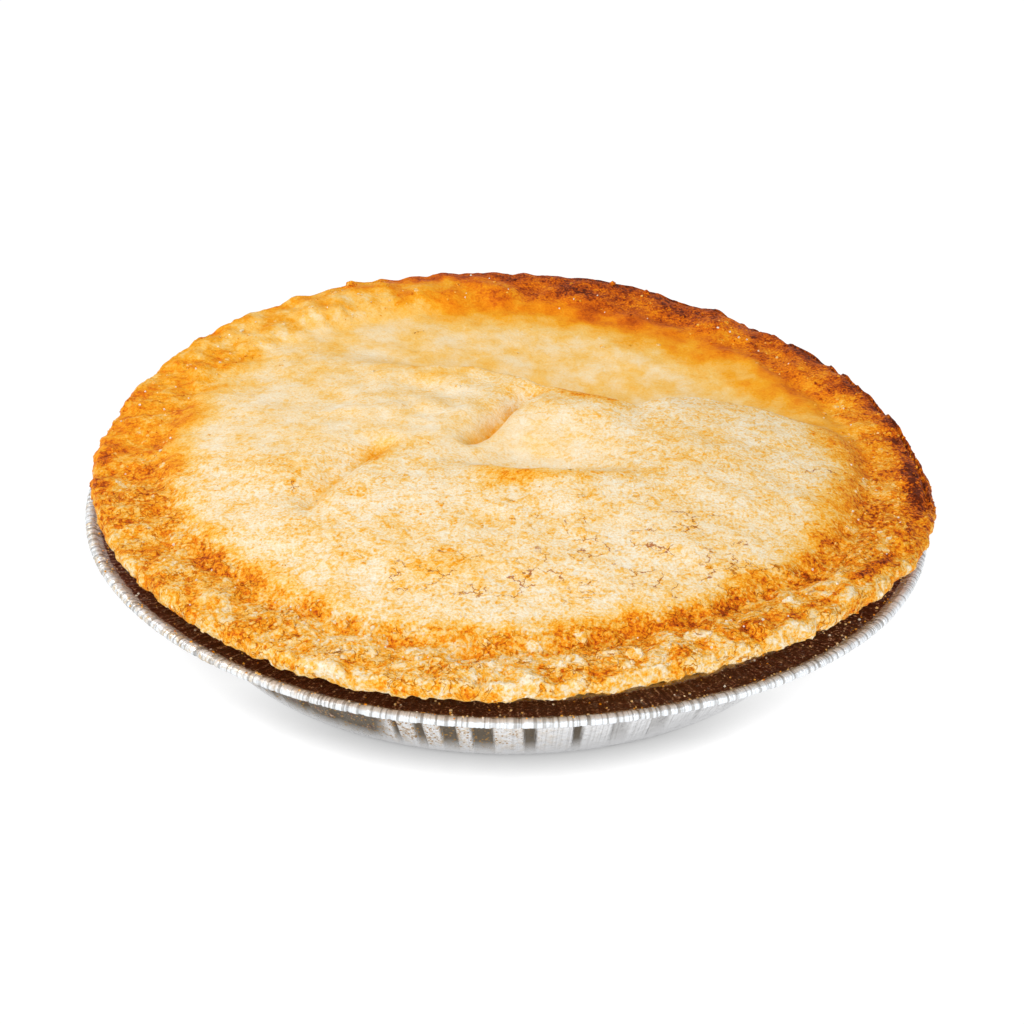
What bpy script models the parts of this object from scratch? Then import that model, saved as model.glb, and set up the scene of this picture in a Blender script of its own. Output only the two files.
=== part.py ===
"""A lemon pie with a whole pastry lid, in the pleated foil dish that it was baked in.

Lengths are in millimetres and angles in degrees until a mesh is made. The dish stands on z = 0
with its centre near the z axis, and -Y is the front of the pie. The lid is a dome with a hollow
behind its crest, a pit near the middle where its folds meet, and a lumpy pressed rim that stands
clear of the dish's flange.
"""

import math

import bpy
import numpy as np
from mathutils import Vector, noise

MM = 0.001
MERGE = 0.00001

# Moves the pie so that its bounding box, not its dish's base, is centred on the z axis
PLACE = (0.5, 0.4)

# Foil dish: a nine inch pie plate, measured over its rolled bead
FOIL = 0.4
DISH_RADIUS = 122.0
DISH_HEIGHT = 32.4
BASE_RADIUS = 88.6
FOOT_WIDTH, FOOT_HEIGHT = 4.2, 4.2
LIP_RADIUS = 106.0
LIP_HEIGHT = 28.6
LIP_ROUND = 1.7
FLANGE_RISE = 1.2
BEAD_WIDTH = 4.6
BEAD_DROP = 2.8
PLEATS = 60
PLEAT_DEPTH = 0.85
BEAD_CRIMP = 0.12

# Crust: its nominal rim, before the waves below
EDGE_RADIUS = 121.4
EDGE_BOTTOM = 39.3
EDGE_THICKNESS = 5.2
SHOULDER_WIDTH, SHOULDER_DROP = 8.0, 1.0
RIM_WIDTH = 18.4
SEAL_DEPTH, SEAL_REACH = 1.5, 4.5
SEAL_DEEPEST = 335
LEDGE_WIDTH, LEDGE_DROP = 3.4, 2.6
LEDGE_MIDDLE = 24
RAGGED = 1.1
GAP = 0.4
CRUST_STEPS = 108

# Slow waves round a rim: how many in a circle, height, and where a crest is
EDGE_HEIGHT_WAVES = ((1, 1.5, 98), (2, 1.5, 112), (3, 0.9, 103), (4, 0.3, 27))
EDGE_OUTLINE_WAVES = ((1, 0.6, 284), (2, 1.4, 117), (3, 0.5, 109), (4, 1.2, 66), (5, 0.6, 49))
DISH_HEIGHT_WAVES = ((2, 0.2, 80), (3, 0.25, 28), (5, 0.5, 12))
DISH_OUTLINE_WAVES = ((2, 0.7, 130), (3, 0.9, 66), (4, 0.5, 66))

# Lid: a dome, and its swells and dips as centre, reach along x and y, and height
CROWN = 8.6
CROWN_RADIUS = 106.0
FRONT_RIGHT_MOUND = ((51, -10), (46, 42), 2.2)
LEFT_MOUND = ((-61, -26), (30, 34), 1.2)
BACK_LEFT_SLOPE = ((-57, 44), (46, 34), -2.8)
SMALL_FOLD = ((19, 12), (12, 9), 1.6)
FOLD_END = ((38, 16), (6, 11), -1.4)
PIT = ((-4, 10), (6, 8), -0.6)
CRUMPLED = ((-27, 26), (24, 19), 1.6)

# Valley between the pit and the mound: its front side is the steep one
VALLEY_AT, VALLEY_DEPTH, VALLEY_TURN = (11, -17), -5.8, -3
VALLEY_FRONT_REACH, VALLEY_BACK_REACH = (21, 6), (21, 18)

# Hollow behind the dome's crest, which this line follows
CREST = (
    (-112, 68), (-75, 64), (-46, 53), (-22, 46), (-8, 43), (4, 36), (12, 28), (21, 23),
    (32, 17), (40, 20), (52, 25), (73, 21), (89, 13), (101, 2), (112, -10),
)
CREST_WIDTH, CREST_WIDTH_LEFT = 13, 22
HOLLOW_FLOOR, HOLLOW_RISE = 39.2, 5.6
HOLLOW_CENTRE, HOLLOW_REACH = (22, 40), (62, 36)

# Folds: the line they follow, height, and reach to the left and right of it
CREASE = (((-30, -1), (-37, -9), (-44, -18), (-53, -33), (-57, -50)), -2.6, 3.5, 8.0)
BACK_FOLD = (((-49, 50), (-29, 48), (-14, 46), (2, 38)), 1.2, 4.0, 10.0)
GROOVE = (((14, 33), (4, 23), (-2, 13), (-7, 2), (-14, -8)), -3.6, 3.2, 4.6)
VALLEY_LIP = (((-18, -18), (-7, -23), (3, -27), (12, -28), (22, -28), (38, -24)), 1.0, 3.0, 9.0)


def smooth_step(t):
    t = np.clip(t, 0, 1)
    return t * t * (3 - 2 * t)


def waves(angle, table):
    """Sum of the waves in a table, at an angle in radians."""
    return sum(high * np.cos(turns * (angle - math.radians(crest))) for turns, high, crest in table)


def hump(x, y, at, reach, height, turn=0):
    """Soft round hill, or a dip where its height is negative. turn is that of its long axis."""
    c, s = math.cos(math.radians(turn)), math.sin(math.radians(turn))
    u = ((x - at[0]) * c + (y - at[1]) * s) / reach[0]
    v = ((y - at[1]) * c - (x - at[0]) * s) / reach[1]
    return height * np.exp(-(u * u + v * v))


def fold(x, y, line, height, left_reach, right_reach):
    """Ridge along a line, or a groove where its height is negative, which fades out at both ends.

    It reaches further on one side than on the other, as a fold that leans over does."""
    nearest = np.full_like(x, np.inf)
    side, share = np.zeros_like(x), np.zeros_like(x)
    spans = len(line) - 1
    for i, (a, b) in enumerate(zip(line, line[1:])):
        dx, dy = b[0] - a[0], b[1] - a[1]
        t = np.clip(((x - a[0]) * dx + (y - a[1]) * dy) / (dx * dx + dy * dy), 0, 1)
        away = np.hypot(x - a[0] - t * dx, y - a[1] - t * dy)
        closer = away < nearest
        nearest = np.where(closer, away, nearest)
        side = np.where(closer, dx * (y - a[1]) - dy * (x - a[0]), side)
        share = np.where(closer, (i + t) / spans, share)
    reach = np.where(side > 0, left_reach, right_reach)
    fade = smooth_step(4 * share) * smooth_step(4 * (1 - share))
    return height * fade * np.exp(-((nearest / reach) ** 2))


def lumps(x, y, size, seed):
    """Smooth noise from about -1 to 1 with bumps of a size."""
    return np.array([noise.noise(Vector((a / size, b / size, seed))) for a, b in zip(x, y)])


def hollow_share(x, y):
    """0 on the dome, and 1 in the hollow behind its crest."""
    line = np.array(CREST, float)
    nearby = [np.interp(x + d, line[:, 0], line[:, 1]) for d in (-5, -2.5, 0, 2.5, 5)]
    slope = (nearby[-1] - nearby[0]) / 10
    behind = (y - np.mean(nearby, axis=0)) / np.sqrt(1 + slope * slope)
    width = CREST_WIDTH + (CREST_WIDTH_LEFT - CREST_WIDTH) * smooth_step((-20 - x) / 30)
    return smooth_step(behind / width + 0.15)


def lid_height(x, y):
    """Height of the pastry lid inside its rim."""
    share_of_radius = np.hypot(x, y) / CROWN_RADIUS
    dome = EDGE_BOTTOM + EDGE_THICKNESS - 0.3
    dome = dome + CROWN * np.clip(1 - share_of_radius**2, 0, 1) ** 0.8
    for swell in (FRONT_RIGHT_MOUND, LEFT_MOUND, BACK_LEFT_SLOPE, SMALL_FOLD, FOLD_END):
        dome = dome + hump(x, y, *swell)
    floor = HOLLOW_FLOOR + HOLLOW_RISE - hump(x, y, HOLLOW_CENTRE, HOLLOW_REACH, HOLLOW_RISE)
    share = hollow_share(x, y)
    z = dome * (1 - share) + floor * share
    z = z + hump(x, y, *PIT)
    front = hump(x, y, VALLEY_AT, VALLEY_FRONT_REACH, VALLEY_DEPTH, VALLEY_TURN)
    back = hump(x, y, VALLEY_AT, VALLEY_BACK_REACH, VALLEY_DEPTH, VALLEY_TURN)
    across = y - VALLEY_AT[1] - math.tan(math.radians(VALLEY_TURN)) * (x - VALLEY_AT[0])
    z = z + np.where(across > 0, back, front)
    for line in (CREASE, BACK_FOLD, GROOVE, VALLEY_LIP):
        z = z + fold(x, y, *line)
    z = z + 0.9 * lumps(x, y, 24, 3.1) + 0.5 * lumps(x, y, 10, 7.7)
    return z + hump(x, y, *CRUMPLED) * lumps(x, y, 8, 4.4)


def rim_height(q, angle):
    """Height of the pressed rim. q is the distance from the centre in a crust of nominal radius."""
    top = EDGE_BOTTOM + EDGE_THICKNESS + waves(angle, EDGE_HEIGHT_WAVES)
    seal = 0.6 + 0.4 * np.cos(angle - math.radians(SEAL_DEEPEST))
    groove = SEAL_DEPTH * seal * np.exp(-(((q - EDGE_RADIUS + RIM_WIDTH) / SEAL_REACH) ** 2))
    outward = np.clip((q - EDGE_RADIUS + SHOULDER_WIDTH) / SHOULDER_WIDTH, 0, 1.2)
    near = smooth_step((np.cos(angle - math.radians(LEDGE_MIDDLE)) - 0.72) / 0.15)
    ledge = LEDGE_DROP * near * smooth_step((q - EDGE_RADIUS + LEDGE_WIDTH) / 1.5)
    return top - groove - SHOULDER_DROP * outward**2.4 - ledge


def top_height(x, y):
    """Height of the crust seen from above: the lid, the rim round it, and the seal between them."""
    angle = np.arctan2(y, x)
    q = np.hypot(x, y) * EDGE_RADIUS / (EDGE_RADIUS + waves(angle, EDGE_OUTLINE_WAVES))
    on_rim = smooth_step((q - EDGE_RADIUS + RIM_WIDTH + 7) / 10)
    z = lid_height(x, y) * (1 - on_rim) + rim_height(q, angle) * on_rim
    rough = smooth_step((q - EDGE_RADIUS + RIM_WIDTH + 11) / 14)
    return z + rough * (1.4 * lumps(x, y, 12, 1.3) + 0.9 * lumps(x, y, 6.5, 5.9))


def dish_outline():
    """Half section of the foil from its centre to the outer edge of its bead, as radius and height."""
    foot = (BASE_RADIUS + FOOT_WIDTH, FOOT_HEIGHT)
    below_lip = (LIP_RADIUS - LIP_ROUND, LIP_HEIGHT - LIP_ROUND)
    middle = tuple((low + high) / 2 for low, high in zip(foot, below_lip))
    bead_in = DISH_RADIUS - BEAD_WIDTH
    bead_top = DISH_HEIGHT - FOIL / 2
    bead_bottom = DISH_HEIGHT - BEAD_DROP
    return [
        (0, FOIL / 2),
        (BASE_RADIUS, FOIL / 2),
        (BASE_RADIUS + 0.6 * FOOT_WIDTH, 0.3 * FOOT_HEIGHT),
        foot,
        middle,
        below_lip,
        (LIP_RADIUS, LIP_HEIGHT),
        (bead_in, LIP_HEIGHT + FLANGE_RISE),
        (bead_in + 0.18 * BEAD_WIDTH, bead_top - 0.5),
        (bead_in + 0.55 * BEAD_WIDTH, bead_top),
        (DISH_RADIUS - FOIL / 2, bead_top - 0.45 * BEAD_DROP),
        (DISH_RADIUS - 0.2 * BEAD_WIDTH, bead_bottom),
        (DISH_RADIUS - 0.56 * BEAD_WIDTH, bead_bottom),
    ]


def wall_radius(z):
    """Radius of the dish's wall at a height, in the middle of its foil and with no pleats."""
    wall = dish_outline()[1:7]
    return float(np.interp(z, [height for _, height in wall], [radius for radius, _ in wall]))


def crust_outline():
    """Half section of the pie, from the middle of its lid, over the rim and back under to the base."""
    shares = (*np.linspace(0, 0.952, 27), 0.97, 0.988)
    top = [(EDGE_RADIUS * share, EDGE_BOTTOM + EDGE_THICKNESS) for share in shares]
    side = [
        (EDGE_RADIUS - 0.3, EDGE_BOTTOM + 3.0),
        (EDGE_RADIUS, EDGE_BOTTOM + 1.1),
        (EDGE_RADIUS - 1.0, EDGE_BOTTOM - 0.2),
    ]
    under = [
        (EDGE_RADIUS - 8.5, EDGE_BOTTOM - 1.3),
        (LIP_RADIUS + 2.2, LIP_HEIGHT + 5.4),
        (LIP_RADIUS - 0.9, LIP_HEIGHT + 0.6),
    ]
    inset = 1.3 * (PLEAT_DEPTH + FOIL / 2 + GAP)
    heights = (LIP_HEIGHT - LIP_ROUND, LIP_HEIGHT / 2, FOOT_HEIGHT)
    body = [(wall_radius(z) - inset, z) for z in heights]
    base = [(BASE_RADIUS - 0.6, FOIL + GAP), (0, FOIL + GAP)]
    return top + side + under + body + base


def turned(outline, steps):
    """Mesh turned round the z axis from a half section."""
    points = [(r * MM, 0, z * MM) for r, z in outline]
    mesh = bpy.data.meshes.new("half_section")
    mesh.from_pydata(points, [(i, i + 1) for i in range(len(points) - 1)], [])
    section = bpy.data.objects.new("half_section", mesh)
    bpy.context.scene.collection.objects.link(section)
    screw = section.modifiers.new("turn", "SCREW")
    screw.steps = screw.render_steps = steps
    screw.use_merge_vertices = True
    screw.merge_threshold = MERGE
    bpy.context.view_layer.update()
    evaluated = section.evaluated_get(bpy.context.evaluated_depsgraph_get())
    result = bpy.data.meshes.new_from_object(evaluated)
    bpy.data.objects.remove(section)
    return result


def points_of(mesh):
    flat = np.empty(len(mesh.vertices) * 3, np.float32)
    mesh.vertices.foreach_get("co", flat)
    return flat.reshape(-1, 3).astype(float) / MM


def set_points(mesh, x, y, z):
    points = np.stack((x + PLACE[0], y + PLACE[1], z), axis=-1) * MM
    mesh.vertices.foreach_set("co", points.astype(np.float32).ravel())
    mesh.update()


def shape_crust(mesh):
    """Gives the plain turned pie its uneven outline, its domed and folded lid, and its wavy rim."""
    x, y, z = points_of(mesh).T
    angle = np.arctan2(y, x)
    r = np.hypot(x, y)
    on_top = z > EDGE_BOTTOM + EDGE_THICKNESS - 0.1
    above_lip = smooth_step((z - LIP_HEIGHT - 1) / 6)
    outline = above_lip * smooth_step((r - 60) / 55) * waves(angle, EDGE_OUTLINE_WAVES)
    ragged = above_lip * (r > 110) * RAGGED * lumps(x, y, 5, 2.2)
    r = r + outline + ragged
    x, y = r * np.cos(angle), r * np.sin(angle)
    below = z + above_lip * waves(angle, EDGE_HEIGHT_WAVES)
    set_points(mesh, x, y, np.where(on_top, top_height(x, y), below))


def shape_dish(mesh):
    """Presses the pleats into the turned foil, and bends its rim a little out of round and flat."""
    x, y, z = points_of(mesh).T
    angle = np.arctan2(y, x)
    r = np.hypot(x, y)
    step = np.round(angle * PLEATS / math.pi)
    in_or_out = np.where(step % 2 == 0, 1.0, -1.0)
    strength = 0.75 + 0.35 * np.sin(5.3 * step) * np.sin(2.1 * step)
    on_wall = smooth_step((z - 1) / 7) * smooth_step((LIP_RADIUS + 3 - r) / 4)
    on_rim = smooth_step((r - LIP_RADIUS) / 6)
    r = r + on_wall * in_or_out * strength * PLEAT_DEPTH
    r = r + on_rim * (waves(angle, DISH_OUTLINE_WAVES) + BEAD_CRIMP * in_or_out)
    lift = smooth_step((z - 8) / 20) * waves(angle, DISH_HEIGHT_WAVES) + on_rim * BEAD_CRIMP * in_or_out
    set_points(mesh, r * np.cos(angle), r * np.sin(angle), z + lift)


def material(name, colour, roughness, metallic=0.0):
    made = bpy.data.materials.new(name)
    made.use_nodes = True
    surface = made.node_tree.nodes["Principled BSDF"]
    surface.inputs["Base Color"].default_value = (*colour, 1.0)
    surface.inputs["Roughness"].default_value = roughness
    surface.inputs["Metallic"].default_value = metallic
    return made


def add_part(name, mesh, finish, group):
    mesh.name = name
    mesh.materials.clear()
    mesh.materials.append(finish)
    mesh.shade_smooth()
    part = bpy.data.objects.new(name, mesh)
    group.objects.link(part)
    return part


def make_pie(group):
    mesh = turned(crust_outline(), CRUST_STEPS)
    shape_crust(mesh)
    return add_part("baked_pie", mesh, material("golden_crust", (0.78, 0.47, 0.17), 0.75), group)


def make_dish(group):
    mesh = turned(dish_outline()[::-1], 2 * PLEATS)
    shape_dish(mesh)
    dish = add_part("foil_dish", mesh, material("foil", (0.82, 0.82, 0.83), 0.3, 1.0), group)
    wall = dish.modifiers.new("foil", "SOLIDIFY")
    wall.thickness = FOIL * MM
    wall.offset = 0
    return dish


def clear_scene():
    for old in list(bpy.data.objects):
        bpy.data.objects.remove(old)


def main():
    clear_scene()
    group = bpy.data.collections.new("lemon_pie")
    bpy.context.scene.collection.children.link(group)
    make_dish(group)
    make_pie(group)


main()
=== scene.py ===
"""Looks for the lemon pie: its baked pastry with flakes, crumbs and sugar, and its pleated foil dish.

Lengths are in millimetres and angles in degrees until a mesh is made. The pie's own centre, before
PLACE moves it, is the middle of the dish's base. -Y is the front of the pie.
"""

import math
import random

import bmesh
import bpy
import numpy as np
from mathutils import Matrix, Vector, noise
from mathutils.bvhtree import BVHTree


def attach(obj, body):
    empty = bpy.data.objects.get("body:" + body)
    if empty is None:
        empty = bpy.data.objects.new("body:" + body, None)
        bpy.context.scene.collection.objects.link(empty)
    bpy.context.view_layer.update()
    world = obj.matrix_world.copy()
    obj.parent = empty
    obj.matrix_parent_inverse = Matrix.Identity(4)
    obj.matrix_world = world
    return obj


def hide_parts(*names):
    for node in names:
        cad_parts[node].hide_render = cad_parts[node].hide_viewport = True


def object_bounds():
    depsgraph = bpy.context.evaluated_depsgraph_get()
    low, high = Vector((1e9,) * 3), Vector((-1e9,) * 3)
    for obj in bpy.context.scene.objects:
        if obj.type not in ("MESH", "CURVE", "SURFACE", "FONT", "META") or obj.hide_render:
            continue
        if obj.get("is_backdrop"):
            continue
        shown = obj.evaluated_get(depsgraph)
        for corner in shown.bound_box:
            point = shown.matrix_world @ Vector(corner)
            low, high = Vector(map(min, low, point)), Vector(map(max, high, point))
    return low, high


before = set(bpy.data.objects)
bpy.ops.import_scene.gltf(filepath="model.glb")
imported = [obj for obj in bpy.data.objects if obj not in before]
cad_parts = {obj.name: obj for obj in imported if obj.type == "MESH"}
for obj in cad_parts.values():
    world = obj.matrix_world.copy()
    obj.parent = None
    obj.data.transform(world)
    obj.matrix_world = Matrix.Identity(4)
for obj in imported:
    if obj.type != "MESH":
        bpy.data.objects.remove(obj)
CAD_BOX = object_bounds()

MM = 0.001
PLACE = (0.5, 0.4)
BODY = "root"
CRUST_SLOT, FOIL_SLOT = "baked_crust", "foil"

# Foil dish, with its real foil and the solid's outline
FOIL = 0.2
DISH_RADIUS = 122.0
DISH_HEIGHT = 32.4
BASE_RADIUS = 88.6
FOOT_WIDTH, FOOT_HEIGHT = 4.2, 4.2
LIP_RADIUS = 106.0
LIP_HEIGHT = 28.6
LIP_ROUND = 1.7
FLANGE_RISE = 1.2
BEAD_WIDTH = 4.6
BEAD_MIDDLE, BEAD_HALF_WIDTH = 3.0, 1.6
BEAD_ROUND, BEAD_DROP = 1.25, 1.05
PLEAT_DEPTH = 0.85
# Section of the bead as first and last angle and how many points, and the rings of the flat base
BEAD_TURN = (160, -150, 12)
BASE_RINGS = (0, 20, 40, 60, 72, 80, 84)
# Lines across the bead and the flange: mean spacing, reach to each side and seed
CRIMPS, DEEP_CRIMPS, WRINKLES = (1.5, 0.32, 11), (7.0, 0.4, 12), (2.2, 0.6, 13)
CRIMP_DEPTH, DEEP_CRIMP_DEPTH, WRINKLE_HEIGHT = 0.22, 0.4, 0.35

# Sunk panels of the dish's wall: those at the front as angle and width, then chance sizes all round
FRONT_PANELS = ((-18.8, 1.0), (-14.7, 1.6), (-9.8, 2.6), (-4.4, 3.5), (3.2, 2.0), (10.9, 1.5))
PANEL_PITCH = (4.0, 8.0)
PANEL_WIDTH = (0.8, 3.6)
PANEL_EDGE = 0.35
PANEL_SLANT = math.radians(1.0)
PANEL_SEED = 5

# Crust: its nominal rim, before the waves below
EDGE_RADIUS = 121.4
EDGE_BOTTOM = 39.3
EDGE_THICKNESS = 5.2
SHOULDER_WIDTH, SHOULDER_DROP = 8.0, 1.0
RIM_START = EDGE_RADIUS - 18.4
SEAL_DEPTH, SEAL_REACH = 1.5, 4.5
SEAL_DEEPEST = 335
LEDGE_WIDTH, LEDGE_DROP, LEDGE_SLOPE = 3.4, 2.6, 1.5
LEDGE_MIDDLE = 24
GAP = 0.4
TOP_EDGE = 0.988 * EDGE_RADIUS

# Fineness of the meshes: steps along the crust's section, turns of each section, and the radii
# outside which the turns double
LID_STEP, RIM_STEP, SIDE_STEP, UNDER_STEP = 0.86, 0.8, 0.75, 1.9
RIM_STEPS_FROM = 96
CRUST_TURNS, CRUST_DOUBLES = 216, (36, 76)
DISH_TURNS, DISH_DOUBLES = 168, (78, 82, 86)

# Slow waves round a rim: how many in a circle, height, and where a crest is
EDGE_HEIGHT_WAVES = ((1, 1.5, 98), (2, 1.5, 112), (3, 0.9, 103), (4, 0.3, 27))
EDGE_OUTLINE_WAVES = ((1, 0.6, 284), (2, 1.4, 117), (3, 0.5, 109), (4, 1.2, 66), (5, 0.6, 49))
DISH_HEIGHT_WAVES = ((2, 0.2, 80), (3, 0.25, 28), (5, 0.5, 12), (6, 0.25, 270))
DISH_OUTLINE_WAVES = ((2, 0.7, 130), (3, 0.9, 66), (4, 0.5, 66))

# Uneven swells, in layers of height, size and seed
LID_SWELLS = ((0.9, 24, 3.1), (0.5, 10, 7.7))
RIM_SWELLS = ((1.4, 12, 1.3), (0.9, 6.5, 5.9))
CUT_EDGE_SWELLS = ((0.6, 3.4, 8.8), (0.5, 1.4, 5.2))
DISH_SWELLS = ((0.14, 7, 2.4),)
RAGGED_OUTLINE = ((1.1, 5, 2.2),)
NIBBLES, FINE_NIBBLES, NIBBLED_BACK = ((0.4, 3.1, 6.3),), ((0.5, 1.3, 3.7),), 0.2

# Relief of the baked surface, in layers too: packed lumps, and flakes that end in small steps
RELIEF_LUMPS = ((1.2, 6.5, 3.3), (0.6, 2.7, 8.1))
RELIEF_FLAKES = ((1.0, 6.0, 4.7), (0.4, 2.4, 1.9))
RELIEF_RIPPLES = ((0.2, 3.6, 6.2),)
FLAKE_STEPS, FLAKE_SLOPE, FLAKE_RISE = (0.02, -0.3), 0.12, 0.4
RELIEF_SUNK = 0.42
RELIEF_AT_FOOT = 0.55
# Paler where it stands out, browner where it sinks: partly pale layers, partly painted light and shade
PALER_WHERE_RAISED = 0.13

# Lid: a dome, and its swells and dips as centre, reach along x and y, and height. Folds, grooves and
# lips are a line, a height, and the reach to the line's left and right
CROWN = 8.6
CROWN_RADIUS = 106.0
FRONT_RIGHT_MOUND = ((51, -10), (46, 42), 2.2)
LEFT_MOUND = ((-61, -26), (30, 34), 1.2)
BACK_LEFT_SLOPE = ((-57, 44), (46, 34), -2.8)
SMALL_FOLD = ((19, 12), (12, 9), 1.6)
FOLD_END = ((38, 16), (6, 11), -1.4)
PIT = ((-4, 10), (6, 8), -0.6)
CRUMPLED, CRUMPLE_SIZE = ((-27, 26), (24, 19), 1.6), 8
VALLEY_AT, VALLEY_DEPTH, VALLEY_TURN = (11, -17), -5.8, -3
VALLEY_FRONT_REACH, VALLEY_BACK_REACH = (21, 6), (21, 18)
CREST = (
    (-112, 68), (-75, 64), (-46, 53), (-22, 46), (-8, 43), (4, 36), (12, 28), (21, 23),
    (32, 17), (40, 20), (52, 25), (73, 21), (89, 13), (101, 2), (112, -10),
)
CREST_WIDTH, CREST_WIDTH_LEFT = 13, 22
HOLLOW_FLOOR, HOLLOW_RISE = 39.2, 5.6
HOLLOW_CENTRE, HOLLOW_REACH = (22, 40), (62, 36)
CREASE_LINE = ((-30, -1), (-37, -9), (-44, -18), (-53, -33), (-57, -50))
CREASE = (CREASE_LINE, -2.6, 3.5, 8.0)
BACK_FOLD = (((-49, 50), (-29, 48), (-14, 46), (2, 38)), 1.2, 4.0, 10.0)
GROOVE = (((14, 33), (4, 23), (-2, 13), (-7, 2), (-14, -8)), -3.6, 3.2, 4.6)
VALLEY_LIP = (((-18, -18), (-7, -23), (3, -27), (12, -28), (22, -28), (38, -24)), 1.0, 3.0, 9.0)

# Browning, from 0 for raw white to 1 for nearly burnt. Tables go round the rim as angle and value:
# where the lid starts to brown, where it is as brown as the rim, then how brown the rim is, how much
# browner its outer edge is, and how brown the cut edge is
BROWN_FROM = (
    (0, 80), (20, 74), (40, 76), (60, 74), (80, 77), (100, 80), (120, 91), (140, 90),
    (160, 80), (180, 90), (200, 92), (240, 91), (280, 91), (300, 91), (320, 91), (340, 87),
)
BROWN_TO = (
    (0, 106), (20, 113), (40, 108), (80, 107), (120, 111), (160, 109), (180, 105), (250, 102),
    (330, 103),
)
# Orange cleft where the lid meets the rim, as how much it is browner
SEAL_BROWN = ((0, 0.0), (120, 0.0), (180, 0.04), (220, 0.1), (290, 0.12), (330, 0.06))
SEAL_AT, SEAL_WIDTH = 101, 4.5
# Brown line along the rim's shoulder at the front right
SHOULDER_BROWN = (
    (0, 0.1), (20, 0.0), (265, 0.0), (290, 0.16), (300, 0.24), (325, 0.27), (340, 0.24),
)
SHOULDER_AT, SHOULDER_REACH = 115.5, 2.0
RIM_BROWN = (
    (0, 0.61), (20, 0.67), (40, 0.74), (60, 0.80), (80, 0.82), (100, 0.67), (120, 0.46), (140, 0.47),
    (160, 0.58), (180, 0.64), (200, 0.5), (240, 0.49), (270, 0.44), (300, 0.53), (320, 0.53), (340, 0.63),
)
EDGE_BROWN = (
    (0, 0.27), (20, 0.18), (60, 0.1), (80, 0.08), (100, 0.15), (130, 0.05), (160, 0.0), (180, 0.06),
    (200, 0.08), (240, -0.02), (270, -0.06), (300, -0.1), (320, -0.1), (340, 0.06), (350, 0.2),
)
SIDE_BROWN = (
    (0, 0.84), (30, 0.84), (90, 0.84), (130, 0.64), (180, 0.68), (215, 0.52), (270, 0.42), (300, 0.42),
    (320, 0.46), (340, 0.66),
)
# How crumbly the rim is: most at the front, where it is palest
RIM_CRAG = (
    (0, 0.34), (30, 0.27), (60, 0.25), (100, 0.34), (150, 0.58), (190, 0.68), (220, 0.88), (250, 1.0),
    (290, 1.0), (320, 0.85), (340, 0.65),
)
LID_CRAG = 0.16
LID_BROWN = 0.275
# Layers that move the borders of the browning about, and layers that cloud it
BROWN_DRIFT = ((5, 15, 6.6), (3.5, 6, 2.8))
BROWN_CLOUDS = ((0.06, 13, 5.1), (0.06, 5.5, 9.4))
# Browner and paler patches: centre, reach and how much
PATCHES = (
    ((1, -31), (10, 5), 0.2), ((-20, -74), (12, 8), 0.12), ((-52, -52), (7, 6), 0.10),
    ((-38, -12), (4, 7), 0.26), ((-88, -10), (8, 8), 0.12), ((-90, 20), (9, 8), 0.10),
    ((38, -22), (16, 8), 0.06), ((48, -4), (16, 6), 0.08), ((-30, 12), (3, 3), 0.18),
    ((-18, 40), (8, 3), 0.16), ((22, 20), (7, 4), 0.14), ((-60, -20), (12, 10), 0.05),
    ((9, -12), (20, 8), -0.04), ((20, 52), (50, 18), 0.09), ((64, 44), (26, 14), 0.06),
    ((-60, 50), (30, 24), 0.04), ((-20, 72), (60, 22), 0.05),
)
# Where the lid has fewer speckles, and the most that they fade
SMOOTH_VALLEY, SMOOTHEST = ((8, -6), (24, 20), 0.5), 0.8
# Sharper beds and lips in the folds above, as those are given
SHARP_FOLDS = (
    (((7, 25), (2, 18), (-3, 10), (-8, 1), (-14, -8)), -2.0, 1.3, 2.6),
    (((-18, -18), (-7, -24), (3, -28), (12, -29), (22, -29), (38, -25)), 0.6, 1.5, 3.5),
    (CREASE_LINE, -1.0, 1.3, 3.0),
    (((-2, 40), (6, 33), (12, 29), (21, 25), (32, 19), (40, 18)), 0.7, 2.0, 4.0),
)
# Lines browner than the lid round them: browning on the crest and the valley's lip, painted shade in
# the groove and along the crease, with how much in place of the height
BROWN_AND_SHADED_LINES = (
    (((4, 30), (12, 26), (21, 22), (30, 17), (38, 16)), 0.2, 2.0, 4.0),
    (((6, 23), (2, 17), (-3, 10), (-8, 1), (-14, -8)), 0.22, 1.4, 2.4),
    (CREASE_LINE, 0.08, 3.0, 2.4),
    (((-18, -18), (-7, -25), (3, -29), (12, -30), (22, -30), (38, -25)), 0.14, 2.0, 3.0),
)

# Where the crust has split into hairlines: centre, reach and how much
CRACKED = (
    ((42, -62), (36, 26), 1.0), ((92, -17), (12, 6), 1.0), ((5, -110), (40, 9), 1.0),
    ((-34, -72), (20, 12), 0.5), ((-60, -30), (18, 16), 0.4), ((70, -84), (22, 12), 0.6),
    ((-4, -80), (26, 14), 0.9),
)

# Loose bits: first and last angle, inner and outer radius, how many, and the least and greatest size
FLAKE_ZONES = (
    (-125, -55, 100, 119, 260, 0.5, 1.8), (-55, -5, 100, 118, 150, 0.5, 1.4),
    (-5, 70, 100, 117, 40, 0.6, 1.2), (-185, -125, 100, 118, 60, 0.6, 1.3),
    (70, 175, 100, 118, 30, 0.5, 1.1), (-125, -55, 102, 117, 40, 1.8, 3.4),
    (-55, -20, 103, 116, 14, 1.6, 2.4), (-140, -40, 40, 94, 50, 0.6, 1.8),
    (-180, 180, 5, 92, 30, 0.6, 1.6),
)
CRUMB_ZONES = (
    (-125, -50, 98, 120, 420, 0.25, 0.8), (-50, 10, 98, 119, 300, 0.25, 0.7),
    (10, 80, 98, 117, 80, 0.25, 0.6), (-190, -125, 98, 119, 160, 0.25, 0.7),
    (80, 170, 98, 118, 80, 0.25, 0.6), (-160, -20, 20, 96, 120, 0.2, 0.45),
)
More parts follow.
